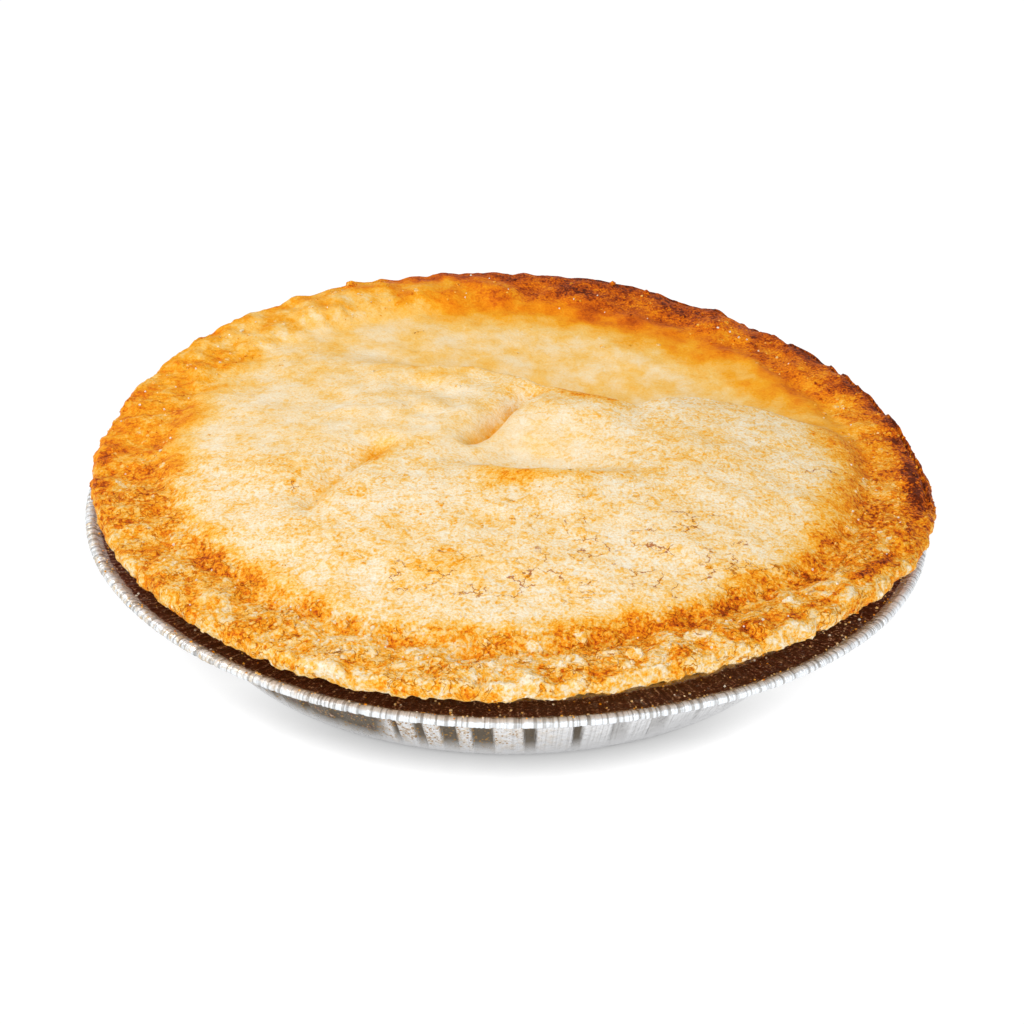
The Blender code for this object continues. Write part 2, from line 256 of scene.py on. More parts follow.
# Flakes inside the lid's radius and outside it: thickness, how much browner than the crust, how deep
# they sink as a share of their thickness, and tilt
FLAKES_LID_RADIUS = 95
LID_FLAKE = ((0.2, 0.35), (-0.08, 0.02), 0.35, 0.08)
RIM_FLAKE = ((0.35, 0.7), (-0.18, 0.04), 0.1, 0.14)
FLAKE_TAPER, FLAKE_CORNERS, FLAKE_BOW = 0.86, (0.55, 1.15), (-0.12, 0.2)
CRUMB_CORNERS, CRUMB_FLATNESS = (0.72, 1.15), (0.55, 0.9)
CRUMB_TONE, SIDE_CRUMB_TONE, DISH_CRUMB_TONE = (-0.2, 0.08), (-0.15, 0.1), (0.25, 0.55)
# Loose bits of pastry are at least this brown
PALEST = 0.37
# Bigger crumbs that stand on the rim against the sky: place and size
SKYLINE_KNOBS = ((-51, 108, 2.0), (33, 114, 1.3), (44, 110, 1.2))
# Crumbs on the cut edge, between two angles and two heights above its foot
SIDE_CRUMBS, SIDE_CRUMB_SIZE = 520, (0.35, 0.85)
SIDE_CRUMB_ANGLES, SIDE_CRUMB_HEIGHTS = (-200, 40), (-0.5, 3.4)
# Crumbs on the flange between two radii, and on the bead as a middle radius and a spread
DISH_CRUMBS, DISH_CRUMB_SIZE = 620, (0.15, 0.4)
FLANGE_CRUMBS, BEAD_CRUMBS = (108, 121), (DISH_RADIUS - 3.3, 0.4)
SUGAR_GRAINS, SUGAR_SIZE = 90, (0.3, 0.55)
SUGAR_ON_RIM, SUGAR_ON_FLANGE = (98, 118), (109, 118)
CRUMB_TILT, KNOB_TILT, SUGAR_TILT = 0.5, 0.3, 0.7
FLAKE_SEED, CRUMB_SEED, DISH_CRUMB_SEED, SUGAR_SEED = 21, 34, 55, 89

# How near the sides of the CAD's box the crust is drawn in, and how much of that room it may fill
BOX_EASE, BOX_KEPT = 0.8, 0.8

# Studio: the camera as it stood for the photograph, 1024 pixels wide
PHOTO_SIZE = 1024
PIXELS_PER_MM = 3.4174
CAMERA_AIM = (1.68, 0.4, 25.2)
CAMERA_RISE = 29.1
CAMERA_AWAY = 850.0
CAMERA_ROLL = 0.41
SENSOR = 36.0
# Softboxes as name, place, size and power, in metres and watts
SOFTBOXES = (
    ("key_softbox", (-0.60, 0.0, 0.9), 0.4, 6.2), ("front_softbox", (0.25, -1.0, 0.7), 0.8, 7.6),
)
ROOM_AT_EYE_LEVEL, ROOM_OVERHEAD = 1.0, 0.0
FLOOR_SIZE, FLOOR_WHITE, FLOOR_GLOW = 3.0, (0.06, 0.06, 0.06, 1), 0.985
# Painted shadow at the dish's foot, dimming the floor's glow: its reach in metres, its strength, its
# share at the back, and where along y it grows from that share to the whole
FOOT_SHADOW, FOOT_SHADE = 0.009, 0.6
SHADE_BEHIND, SHADE_FROM, SHADE_TO = 0.3, -0.055, -0.08


def rising(value, start, end):
    """0 up to a start and 1 past an end, smooth between. It falls where the end is below the start."""
    t = np.clip((value - start) / (end - start), 0, 1)
    return t * t * (3 - 2 * t)


def waves(angle, table):
    """Sum of the waves in a table, at an angle in radians."""
    return sum(high * np.cos(turns * (angle - math.radians(crest))) for turns, high, crest in table)


def round_rim(angle, table):
    """Value from a table that goes round the pie in degrees, at an angle in radians."""
    degrees, values = zip(*table)
    return np.interp(np.degrees(angle), degrees, values, period=360)


def hump(x, y, at, reach, height, turn=0):
    """Soft hill, or a dip where its height is negative, turned by an angle in degrees."""
    c, s = math.cos(math.radians(turn)), math.sin(math.radians(turn))
    u = ((x - at[0]) * c + (y - at[1]) * s) / reach[0]
    v = ((y - at[1]) * c - (x - at[0]) * s) / reach[1]
    return height * np.exp(-(u * u + v * v))


def fold(x, y, line, height, left_reach, right_reach):
    """Ridge along a line, or a groove where its height is negative, which fades out at both ends.

    It reaches further on one side than on the other, as a fold that leans over does."""
    nearest = np.full_like(x, np.inf)
    side, share = np.zeros_like(x), np.zeros_like(x)
    spans = len(line) - 1
    for i, (a, b) in enumerate(zip(line, line[1:])):
        dx, dy = b[0] - a[0], b[1] - a[1]
        t = np.clip(((x - a[0]) * dx + (y - a[1]) * dy) / (dx * dx + dy * dy), 0, 1)
        away = np.hypot(x - a[0] - t * dx, y - a[1] - t * dy)
        closer = away < nearest
        nearest = np.where(closer, away, nearest)
        side = np.where(closer, dx * (y - a[1]) - dy * (x - a[0]), side)
        share = np.where(closer, (i + t) / spans, share)
    reach = np.where(side > 0, left_reach, right_reach)
    fade = rising(share, 0, 0.25) * rising(share, 1, 0.75)
    return height * fade * np.exp(-((nearest / reach) ** 2))


def lumps(x, y, size, seed):
    """Smooth noise from about -1 to 1 with bumps of a size."""
    return np.array([noise.noise(Vector((a / size, b / size, seed))) for a, b in zip(x, y)])


def swells(x, y, layers):
    """Layers of that noise, each given as height, size and seed."""
    return sum(height * lumps(x, y, size, seed) for height, size, seed in layers)


def solid_lumps(points, size, seed):
    """The same noise as lumps, but through the whole space, so that it also suits steep sides."""
    shift = Vector((seed, -seed, 2 * seed))
    return np.array([noise.noise(Vector(p) / size + shift) for p in points])


def crumb_lumps(points, size, seed):
    """Rounded lumps packed side by side, about 0.4 on top and -0.4 in the clefts between them."""
    shift = Vector((seed, -seed, 2 * seed))
    return np.array([0.4 - noise.voronoi(Vector(p) / size + shift)[0][0] for p in points])


def solid_swells(points, layers, shape=solid_lumps):
    """Layers of either of these, each given as height, size and seed."""
    return sum(height * shape(points, size, seed) for height, size, seed in layers)


def hollow_share(x, y):
    """0 on the dome, and 1 in the hollow behind its crest."""
    line = np.array(CREST, float)
    nearby = [np.interp(x + d, line[:, 0], line[:, 1]) for d in (-5, -2.5, 0, 2.5, 5)]
    slope = (nearby[-1] - nearby[0]) / 10
    behind = (y - np.mean(nearby, axis=0)) / np.sqrt(1 + slope * slope)
    width = CREST_WIDTH + (CREST_WIDTH_LEFT - CREST_WIDTH) * rising(x, -20, -50)
    return rising(behind / width, -0.15, 0.85)


def lid_height(x, y):
    """Height of the pastry lid inside its rim."""
    share_of_radius = np.hypot(x, y) / CROWN_RADIUS
    dome = EDGE_BOTTOM + EDGE_THICKNESS - 0.3
    dome = dome + CROWN * np.clip(1 - share_of_radius**2, 0, 1) ** 0.8
    for swell in (FRONT_RIGHT_MOUND, LEFT_MOUND, BACK_LEFT_SLOPE, SMALL_FOLD, FOLD_END):
        dome = dome + hump(x, y, *swell)
    floor = HOLLOW_FLOOR + HOLLOW_RISE - hump(x, y, HOLLOW_CENTRE, HOLLOW_REACH, HOLLOW_RISE)
    share = hollow_share(x, y)
    z = dome * (1 - share) + floor * share
    z = z + hump(x, y, *PIT)
    front = hump(x, y, VALLEY_AT, VALLEY_FRONT_REACH, VALLEY_DEPTH, VALLEY_TURN)
    back = hump(x, y, VALLEY_AT, VALLEY_BACK_REACH, VALLEY_DEPTH, VALLEY_TURN)
    across = y - VALLEY_AT[1] - math.tan(math.radians(VALLEY_TURN)) * (x - VALLEY_AT[0])
    z = z + np.where(across > 0, back, front)
    for line in (CREASE, BACK_FOLD, GROOVE, VALLEY_LIP):
        z = z + fold(x, y, *line)
    return z + swells(x, y, LID_SWELLS) + hump(x, y, *CRUMPLED) * lumps(x, y, CRUMPLE_SIZE, 4.4)


def rim_height(q, angle):
    """Height of the pressed rim. q is the distance from the centre in a crust of nominal radius."""
    top = EDGE_BOTTOM + EDGE_THICKNESS + waves(angle, EDGE_HEIGHT_WAVES)
    seal = 0.6 + 0.4 * np.cos(angle - math.radians(SEAL_DEEPEST))
    groove = SEAL_DEPTH * seal * np.exp(-(((q - RIM_START) / SEAL_REACH) ** 2))
    outward = np.clip((q - EDGE_RADIUS + SHOULDER_WIDTH) / SHOULDER_WIDTH, 0, 1.2)
    near = rising(np.cos(angle - math.radians(LEDGE_MIDDLE)), 0.72, 0.87)
    ledge_start = EDGE_RADIUS - LEDGE_WIDTH
    ledge = LEDGE_DROP * near * rising(q, ledge_start, ledge_start + LEDGE_SLOPE)
    return top - groove - SHOULDER_DROP * outward**2.4 - ledge


def nominal_radius(x, y):
    """Distance from the centre, as it would be if the rim were a true circle."""
    angle = np.arctan2(y, x)
    return np.hypot(x, y) * EDGE_RADIUS / (EDGE_RADIUS + waves(angle, EDGE_OUTLINE_WAVES))


def top_height(x, y):
    """Height of the crust seen from above: the lid, the rim round it, and the seal between them."""
    q = nominal_radius(x, y)
    on_rim = rising(q, RIM_START - 7, RIM_START + 3)
    z = lid_height(x, y) * (1 - on_rim) + rim_height(q, np.arctan2(y, x)) * on_rim
    return z + rising(q, RIM_START - 11, RIM_START + 3) * swells(x, y, RIM_SWELLS)


def turn_section(section, turns, doubles):
    """Turns a half section round the z axis, with twice the turns outside each radius of doubles.

    Its ends on the axis become single points."""
    bm = bmesh.new()
    line = [bm.verts.new((r, 0, z)) for r, z in section]
    edges = [bm.edges.new(pair) for pair in zip(line, line[1:])]
    bmesh.ops.spin(
        bm, geom=line + edges, cent=(0, 0, 0), axis=(0, 0, 1), angle=math.tau, steps=turns,
        use_merge=True,
    )
    bmesh.ops.remove_doubles(bm, verts=bm.verts, dist=0.0005)
    for beyond in doubles:
        halve_spacing(bm, beyond)
    return bm


def halve_spacing(bm, beyond):
    """Cuts every edge that runs round the pie outside a radius in two."""
    along_rim = []
    for edge in bm.edges:
        a, b = (v.co for v in edge.verts)
        if min(a.xy.length, b.xy.length) < beyond:
            continue
        if abs(a.z - b.z) < 0.02 and abs(a.xy.length - b.xy.length) < 0.05:
            along_rim.append(edge)
    bmesh.ops.subdivide_edges(bm, edges=along_rim, cuts=1, use_single_edge=True)


def smooth_line(points, spacing):
    """Points about a spacing apart on a smooth curve through the given ones."""
    ends = [2 * np.array(points[0]) - points[1], 2 * np.array(points[-1]) - points[-2]]
    line = np.array([ends[0], *points, ends[1]], float)
    found = []
    for p0, p1, p2, p3 in zip(line, line[1:], line[2:], line[3:]):
        count = max(1, round(float(np.hypot(*(p2 - p1))) / spacing))
        for t in np.arange(count) / count:
            bend = 2 * p0 - 5 * p1 + 4 * p2 - p3
            twist = 3 * (p1 - p2) + p3 - p0
            found.append(tuple(p1 + 0.5 * t * ((p2 - p0) + t * (bend + t * twist))))
    return [*found, tuple(float(c) for c in points[-1])]


def finished_mesh(bm, name):
    """Mesh in millimetres with its faces pointing outwards."""
    bmesh.ops.recalc_face_normals(bm, faces=bm.faces)
    mesh = bpy.data.meshes.new(name)
    bm.to_mesh(mesh)
    bm.free()
    return mesh


def points_of(mesh, kind="co"):
    """The places of a mesh's points, or their normals where the kind says so."""
    flat = np.empty(len(mesh.vertices) * 3, np.float32)
    mesh.vertices.foreach_get(kind, flat)
    return flat.reshape(-1, 3).astype(float)


def set_points(mesh, points):
    mesh.vertices.foreach_set("co", np.asarray(points, np.float32).ravel())
    mesh.update()


def store(mesh, name, values):
    """Keeps one number for each point of a mesh, for its finish to read."""
    kept = mesh.attributes.new(name, "FLOAT", "POINT")
    kept.data.foreach_set("value", np.asarray(values, np.float32))


def add_object(name, data):
    made = bpy.data.objects.new(name, data)
    bpy.context.scene.collection.objects.link(made)
    return made


def add_piece(mesh, finish, slot, smooth=True):
    """Moves a mesh in millimetres to its place in metres, inside the CAD's box, and hangs it there."""
    set_points(mesh, np.clip((points_of(mesh) + (*PLACE, 0)) * MM, *CAD_BOX))
    mesh.materials.append(finish)
    if smooth:
        mesh.shade_smooth()
    piece = add_object(mesh.name, mesh)
    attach(piece, BODY)
    return piece


class Ground:
    """Surface in millimetres that loose bits lie on, with the browning under them."""

    def __init__(self, mesh, brown=None):
        self.points = points_of(mesh)
        self.faces = [tuple(face.vertices) for face in mesh.polygons]
        self.tree = BVHTree.FromPolygons([Vector(p) for p in self.points], self.faces)
        self.brown = brown

    def hit(self, start, way):
        """Place, normal and browning where a line from a start first meets the surface."""
        at, normal, face, _ = self.tree.ray_cast(Vector(start), Vector(way))
        brown = 0.0
        if at is not None and self.brown is not None:
            brown = float(self.brown[self.faces[face][0]])
        return at, normal, brown

    def below(self, x, y):
        return self.hit((x, y, 90), (0, 0, -1))

    def beside(self, angle, z):
        out = Vector((math.cos(angle), math.sin(angle), 0))
        return self.hit(140 * out + Vector((0, 0, z)), -out)


def pastry_section():
    """Half section of the crust, from the middle of its lid over the rim and under to the base."""
    lid = np.arange(0, RIM_STEPS_FROM, LID_STEP)
    rim = np.arange(RIM_STEPS_FROM, TOP_EDGE, RIM_STEP)
    top = [(q, EDGE_BOTTOM + EDGE_THICKNESS) for q in (*lid, *rim)]
    side = [
        (TOP_EDGE, EDGE_BOTTOM + EDGE_THICKNESS - 0.3),
        (EDGE_RADIUS - 0.1, EDGE_BOTTOM + 3.2),
        (EDGE_RADIUS, EDGE_BOTTOM + 1.1),
        (EDGE_RADIUS - 1.0, EDGE_BOTTOM - 0.2),
    ]
    under = [
        (EDGE_RADIUS - 1.0, EDGE_BOTTOM - 0.2),
        (EDGE_RADIUS - 8.5, EDGE_BOTTOM - 1.3),
        (LIP_RADIUS + 2.2, LIP_HEIGHT + 5.4),
        (LIP_RADIUS - 0.9, LIP_HEIGHT + 0.6),
    ]
    inset = 1.3 * (PLEAT_DEPTH + FOIL / 2 + GAP)
    heights = (LIP_HEIGHT - LIP_ROUND, LIP_HEIGHT / 2, FOOT_HEIGHT)
    body = [(wall_radius(z) - inset, z) for z in heights]
    base = [(BASE_RADIUS - 0.6, FOIL + GAP), (0, FOIL + GAP)]
    return top + smooth_line(side, SIDE_STEP)[:-1] + smooth_line(under, UNDER_STEP) + body + base


def eased_in(points):
    """Points near the sides of the CAD's box drawn in a little, so that none is cut off flat."""
    for axis in (0, 1):
        for corner, sign in zip(CAD_BOX, (-1, 1)):
            start = sign * (corner[axis] / MM - PLACE[axis]) - BOX_EASE
            past = np.maximum(sign * points[:, axis] - start, 0)
            kept_past = BOX_KEPT * BOX_EASE * (1 - np.exp(-past / BOX_EASE))
            points[:, axis] -= sign * (past - kept_past)
    return points


def pastry_relief(points, crag):
    """How far the baked surface stands out: crumbly lumps and flakes on the rim, less on the lid."""
    lumpy = solid_swells(points, RELIEF_LUMPS, crumb_lumps)
    flaky = solid_swells(points, RELIEF_FLAKES)
    flakes = sum(rising(flaky, step, step + FLAKE_SLOPE) for step in FLAKE_STEPS)
    ripples = solid_swells(points, RELIEF_RIPPLES) * (0.6 + crag)
    return crag * (lumpy + FLAKE_RISE * flakes - RELIEF_SUNK) + ripples


def make_crust(finish):
    """The whole crust: lid, rim, cut edge and the part inside the dish, as one closed mesh."""
    bm = turn_section(pastry_section(), CRUST_TURNS, CRUST_DOUBLES)
    mesh = finished_mesh(bm, "pie_crust")
    x, y, z = points_of(mesh).T
    angle = np.arctan2(y, x)
    r = np.hypot(x, y)
    on_top = z > EDGE_BOTTOM + EDGE_THICKNESS - 0.1
    above_lip = rising(z, LIP_HEIGHT + 1, LIP_HEIGHT + 7)
    outline = rising(r, 60, 115) * waves(angle, EDGE_OUTLINE_WAVES)
    ragged = rising(r, 108, 116) * swells(x, y, RAGGED_OUTLINE)
    nibbled = rising(r, 115, 120) * (swells(x, y, NIBBLES) - NIBBLED_BACK)
    nibbled = nibbled + rising(r, 118, 120) * swells(x, y, FINE_NIBBLES)
    r = r + above_lip * (outline + ragged + nibbled * round_rim(angle, RIM_CRAG))
    x, y = r * np.cos(angle), r * np.sin(angle)

    wavy = waves(angle, EDGE_HEIGHT_WAVES)
    height = z + above_lip * wavy
    height[on_top] = top_height(x[on_top], y[on_top])
    for line in SHARP_FOLDS:
        height[on_top] += fold(x[on_top], y[on_top], *line)
    side = (z > EDGE_BOTTOM - 0.25) & ~on_top
    edge_x = TOP_EDGE / EDGE_RADIUS * r[side] * np.cos(angle[side])
    edge_y = TOP_EDGE / EDGE_RADIUS * r[side] * np.sin(angle[side])
    edge_top = top_height(edge_x, edge_y)
    bottom = EDGE_BOTTOM - 0.2 + wavy[side] + swells(x[side], y[side], CUT_EDGE_SWELLS)
    share = (z[side] - EDGE_BOTTOM + 0.2) / (EDGE_THICKNESS - 0.1)
    height[side] = bottom + share * (edge_top - bottom)
    set_points(mesh, np.stack((x, y, height), axis=-1))

    points, normals = points_of(mesh), points_of(mesh, "normal")
    q = nominal_radius(x, y)
    crag = craggy(x, y, q) * above_lip
    down = np.zeros_like(x)
    down[side] = 1 - share
    down[~side & ~on_top] = 1
    stand_out = pastry_relief(points, crag) * (1 + (RELIEF_AT_FOOT - 1) * down)
    set_points(mesh, eased_in(points + normals * (above_lip * stand_out)[:, None]))
    # Partly painted highlight and shade: paler where the relief stands out, browner where it sinks
    brown = browning(x, y, q, down) - PALER_WHERE_RAISED * stand_out * crag
    store(mesh, "browning", brown)
    store(mesh, "crag", crag)
    store(mesh, "mottle", mottled(x, y, q))
    store(mesh, "cracked", sum(hump(x, y, *zone) for zone in CRACKED))
    ground = Ground(mesh, brown)
    return add_piece(mesh, finish, CRUST_SLOT), ground


def craggy(x, y, q):
    """How rough the pastry is: 1 on the crumbliest rim, LID_CRAG on the lid, less in the hollow."""
    rim = rising(q, RIM_START - 9, RIM_START) * round_rim(np.arctan2(y, x), RIM_CRAG)
    smooth_back = hollow_share(x, y) * rising(q, 112, 92)
    return np.maximum(rim, LID_CRAG * (1 - 0.8 * smooth_back))


def mottled(x, y, q):
    """How strongly the pastry is speckled: less in the hollow, the valley and at the back."""
    smooth = hump(x, y, *SMOOTH_VALLEY) + 0.2 * rising(y, 20, 80)
    smooth = smooth + 0.45 * rising(y, -25, 5) * rising(x, 20, -20)
    smooth = np.maximum(smooth, 0.75 * hollow_share(x, y) * rising(q, 112, 98))
    return 1 - np.clip(smooth, 0, SMOOTHEST)


def browning(x, y, q, down):
    """How brown the pastry is. down goes from 0 on top to 1 at the foot of the cut edge."""
    angle = np.arctan2(y, x)
    drift = swells(x, y, BROWN_DRIFT)
    on_rim = rising(q + drift, round_rim(angle, BROWN_FROM), round_rim(angle, BROWN_TO))
    brown = LID_BROWN + (round_rim(angle, RIM_BROWN) - LID_BROWN) * on_rim
    brown = brown + round_rim(angle, EDGE_BROWN) * rising(q + 0.5 * drift, 110, 117)
    seal = np.exp(-(((q + 0.5 * drift - SEAL_AT) / SEAL_WIDTH) ** 2))
    brown = brown + round_rim(angle, SEAL_BROWN) * seal
    shoulder = np.exp(-(((q + 0.25 * drift - SHOULDER_AT) / SHOULDER_REACH) ** 2))
    brown = brown + round_rim(angle, SHOULDER_BROWN) * shoulder
    for patch in PATCHES:
        brown = brown + hump(x, y, *patch)
    # Browning on the crest and lip, painted shade in the groove and along the crease
    for line in BROWN_AND_SHADED_LINES:
        brown = brown + fold(x, y, *line)
    below = rising(down, 0.12, 0.32)
    brown = brown * (1 - below) + round_rim(angle, SIDE_BROWN) * below
    return brown + swells(x, y, BROWN_CLOUDS)


def dish_section():
    """Half section of the foil from its centre to the rolled edge of its bead."""
    foot = np.array((BASE_RADIUS + FOOT_WIDTH, FOOT_HEIGHT))
    below_lip = np.array((LIP_RADIUS - LIP_ROUND, LIP_HEIGHT - LIP_ROUND))
    bead_in = np.array((DISH_RADIUS - BEAD_WIDTH, LIP_HEIGHT + FLANGE_RISE))
    flange_in = np.array((LIP_RADIUS + 1.4, LIP_HEIGHT + 0.15))
    middle = (bead_in[0] + BEAD_MIDDLE, DISH_HEIGHT - BEAD_DROP - FOIL / 2 - BEAD_ROUND)
    base = [(r, FOIL / 2) for r in BASE_RINGS]
    toe = (BASE_RADIUS + 0.6 * FOOT_WIDTH, 0.3 * FOOT_HEIGHT)
    turned_up = smooth_line([(BASE_RADIUS, FOIL / 2), toe, foot], 1.3)
    wall = [foot + (below_lip - foot) * share for share in np.linspace(0, 1, 9)]
    lip = smooth_line([below_lip, (LIP_RADIUS - 0.3, LIP_HEIGHT - 0.35), flange_in], 0.9)
    flange = [flange_in + (bead_in - flange_in) * share for share in (0.2, 0.4, 0.6, 0.8, 1.0)]
    bead = [
        (middle[0] + BEAD_HALF_WIDTH * math.cos(turn), middle[1] + BEAD_ROUND * math.sin(turn))
        for turn in np.radians(np.linspace(*BEAD_TURN))
    ]
    return base + turned_up + wall[1:-1] + lip + flange + bead


def wall_radius(z):
    """Radius of the dish's wall at a height, in the middle of its foil and with no pleats."""
    heights = (FOIL / 2, FOOT_HEIGHT, LIP_HEIGHT - LIP_ROUND, LIP_HEIGHT)
    radii = (BASE_RADIUS, BASE_RADIUS + FOOT_WIDTH, LIP_RADIUS - LIP_ROUND, LIP_RADIUS)
    return float(np.interp(z, heights, radii))


def sunk_panels():
    """Every sunk panel of the wall as angle, half width and depth, with angles from the front."""
    chance = random.Random(PANEL_SEED)
    panels = [(angle, width / 2, 1.0) for angle, width in FRONT_PANELS]
    angle = FRONT_PANELS[-1][0] + 7
    while angle < 360 + FRONT_PANELS[0][0] - 4:
        width = chance.uniform(*PANEL_WIDTH)
        panels.append((angle, width / 2, chance.uniform(0.5, 1.0)))
        angle += chance.uniform(*PANEL_PITCH)
    return panels


def sunk_share(angle):
    """0 on the outer panels of the wall, and up to 1 on the sunk ones, at an angle in radians."""
    from_front = np.degrees(angle) + 90
    share = np.zeros_like(from_front)
    for at, half_width, depth in sunk_panels():
        gap = np.abs((from_front - at + 180) % 360 - 180)
        inside = rising(gap, half_width + PANEL_EDGE / 2, half_width - PANEL_EDGE / 2)
        share = np.maximum(share, depth * inside)
    return share


def lines_round(angle, radius, pitch, reach, seed):
    """Narrow lines at uneven spacing round a circle: from 0 between them to 1 on a deep one."""
    chance = np.random.RandomState(seed)
    count = round(math.tau * radius / pitch)
    places = np.cumsum(chance.uniform(0.5, 1.5, count))
    places = places * math.tau / places[-1]
    depths = chance.uniform(0.3, 1.0, count)
    turned = angle % math.tau
    after = np.searchsorted(places, turned) % count
    found = np.zeros_like(angle)
    for index in (after, after - 1):
        gap = np.abs((turned - places[index] + math.pi) % math.tau - math.pi) * radius
        found = np.maximum(found, depths[index] * np.exp(-((gap / reach) ** 2)))
    return found


def make_dish(finish):
    """The foil dish: pleated wall, wrinkled flange and a rolled bead with crimps across it."""
    bm = turn_section(dish_section(), DISH_TURNS, DISH_DOUBLES)
    mesh = finished_mesh(bm, "foil_dish_pressed")
    x, y, z = points_of(mesh).T
    angle = np.arctan2(y, x)
    r = np.hypot(x, y)
    sunk = sunk_share(angle - PANEL_SLANT * np.clip(1 - z / LIP_HEIGHT, 0, 1))
    bead_in = DISH_RADIUS - BEAD_WIDTH
    on_wall = rising(z, 1, 8) * rising(r, LIP_RADIUS + 3, LIP_RADIUS - 1)
    on_rim = rising(r, LIP_RADIUS, LIP_RADIUS + 6)
    on_bead = rising(r, bead_in + 0.7, bead_in + 1.6)
    on_flange = rising(r, LIP_RADIUS + 0.5, LIP_RADIUS + 2.5) * (1 - on_bead)
    deep = lines_round(angle, DISH_RADIUS, *DEEP_CRIMPS)
    pinch = CRIMP_DEPTH * lines_round(angle, DISH_RADIUS, *CRIMPS) + DEEP_CRIMP_DEPTH * deep
    pinch = on_bead * pinch
    out = r - bead_in - BEAD_MIDDLE
    up = z - DISH_HEIGHT + BEAD_DROP + BEAD_ROUND
    far = np.maximum(np.hypot(out, up), 0.5)
    wall = on_wall * PLEAT_DEPTH * (0.6 - 1.6 * sunk)
    r_new = r + wall + on_rim * waves(angle, DISH_OUTLINE_WAVES) - pinch * out / far
    wrinkles = WRINKLE_HEIGHT * lines_round(angle, LIP_RADIUS, *WRINKLES)
    lift = rising(z, 8, 28) * waves(angle, DISH_HEIGHT_WAVES) + on_rim * swells(x, y, DISH_SWELLS)
    lift = lift + on_flange * (wrinkles - 0.15 * sunk) - pinch * up / far
    set_points(mesh, np.stack((r_new * np.cos(angle), r_new * np.sin(angle), z + lift), axis=-1))

    # The left side of the dish is the one that is stained, spattered, dull and darker
    # Stain: on the flange partly baked-on stain, partly painted shade under the crust's overhang
    store(mesh, "stain_and_shade", 0.95 * on_flange + on_wall * 0.4 * rising(x, 6, -24))
    # Painted shade: on the sunk panels, in the bead's deep crimps, and over the left of the wall
    panels = np.maximum(sunk * (1 - 0.6 * rising(x, 22, 28)), 1.1 * rising(x, -30, -36))
    store(mesh, "shade", np.clip(on_wall * panels + 0.6 * on_bead * deep, 0, 1))
    store(mesh, "spatter", on_wall * (0.1 + 0.9 * rising(x, 30, -20)))
    store(mesh, "bead", on_bead)
    store(mesh, "tarnish", on_wall * rising(x, 34, -26) + on_bead * rising(x, -30, -90))
    store(mesh, "along", angle * LIP_RADIUS)
    store(mesh, "lined", 0.8 * on_flange + on_bead + 0.3 * on_wall)
    ground = Ground(mesh)
    dish = add_piece(mesh, finish, FOIL_SLOT)
    wall = dish.modifiers.new("foil", "SOLIDIFY")
    wall.thickness = FOIL * MM
    wall.offset = 0
    return dish, ground


class Bits:
    """Many small pieces of one kind, joined in one mesh, each with its own browning."""

    def __init__(self, name):
        self.name, self.points, self.faces, self.brown = name, [], [], []

    def add(self, shape, at, normal, brown, chance, tilt):
        """Lays a shape that was made at the origin on a place, with a chance turn and tilt."""
        lean = Vector([chance.uniform(-tilt, tilt) for _ in range(3)])
        turn = (normal + lean).to_track_quat("Z", "Y").to_matrix().to_4x4()
        spin = Matrix.Rotation(chance.uniform(0, math.tau), 4, "Z")
        matrix = Matrix.Translation(at) @ turn @ spin
        first = len(self.points)
        shape.verts.index_update()
        self.points += [matrix @ vert.co for vert in shape.verts]
        self.faces += [[first + vert.index for vert in face.verts] for face in shape.faces]
        self.brown += [brown] * len(shape.verts)
        shape.free()

    def finish_up(self, finish):
        mesh = bpy.data.meshes.new(self.name)
        mesh.from_pydata(self.points, [], self.faces)
        store(mesh, "browning", self.brown)
        store(mesh, "crag", np.ones(len(self.brown)))
        store(mesh, "mottle", np.ones(len(self.brown)))
        add_piece(mesh, finish, CRUST_SLOT, smooth=False)


def places_on_rim(chance, zones):
    """Chance places in each zone, as x, y and the zone's least and greatest size."""
    for first, last, inner, outer, count, smallest, largest in zones:
        for _ in range(count):
            angle = math.radians(chance.uniform(first, last))
            r = math.sqrt(chance.uniform(inner**2, outer**2))
            r *= 1 + float(waves(angle, EDGE_OUTLINE_WAVES)) / EDGE_RADIUS
            yield r * math.cos(angle), r * math.sin(angle), smallest, largest


def flake(chance, size, thickness):
    """Thin chip of pastry with a broken outline, lying flat at the origin."""
    bm = bmesh.new()
    sides = chance.randint(6, 9)
    bmesh.ops.create_cone(
        bm, cap_ends=True, segments=sides, radius1=size, radius2=size * FLAKE_TAPER, depth=thickness,
    )
    reach = [chance.uniform(*FLAKE_CORNERS) for _ in range(sides)]
    bow = chance.uniform(*FLAKE_BOW)
    for vert in bm.verts:
        corner = round(math.atan2(vert.co.y, vert.co.x) / math.tau * sides) % sides
        vert.co.xy *= reach[corner]
        vert.co.z += bow * vert.co.x**2 / size
    return bm


def crumb(chance, size):
    """Small lump of pastry with blunt corners."""
    bm = bmesh.new()
    bmesh.ops.create_icosphere(bm, subdivisions=1, radius=size)
    flatness = chance.uniform(*CRUMB_FLATNESS)
    for vert in bm.verts:
        vert.co *= chance.uniform(*CRUMB_CORNERS)
        vert.co.z *= flatness
    return bm


def scatter_flakes(ground, finish):
    """Chips of pastry lying flat on the rim, and fewer and thinner ones on the lid."""
    chance = random.Random(FLAKE_SEED)
    flakes = Bits("pastry_flakes")
    for x, y, smallest, largest in places_on_rim(chance, FLAKE_ZONES):
        at, normal, brown = ground.below(x, y)
        if at is None:
            continue
        on_lid = math.hypot(x, y) < FLAKES_LID_RADIUS
        thicknesses, tones, sunk, tilt = LID_FLAKE if on_lid else RIM_FLAKE
        size = smallest * (largest / smallest) ** chance.random()
        thickness = chance.uniform(*thicknesses)
        shade = max(brown + chance.uniform(*tones), PALEST)
        place = at - normal * thickness * sunk
        flakes.add(flake(chance, size, thickness), place, normal, shade, chance, tilt)
    flakes.finish_up(finish)


